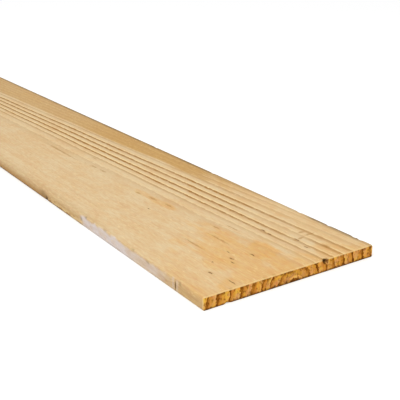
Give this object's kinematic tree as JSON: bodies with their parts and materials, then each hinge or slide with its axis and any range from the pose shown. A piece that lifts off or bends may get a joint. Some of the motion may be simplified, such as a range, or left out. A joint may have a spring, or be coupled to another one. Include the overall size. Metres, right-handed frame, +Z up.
{
  "type": "pine board",
  "caption": "Long flat planed pine board with eased long edges and square sawn ends, used for shelves, trim, panels and general joinery.",
  "frame": {"origin": "centre of the bottom wide face, midway along the length", "axes": "+X along the grain towards the end nearest the camera in the picture, +Y across the width, +Z up through the thickness"},
  "size_m": [1.8288, 0.3048, 0.0191],
  "materials": {
    "pine": "planed, unfinished"
  },
  "bodies": {
    "root": {"pine_board": "pine"}
  },
  "joints": []
}
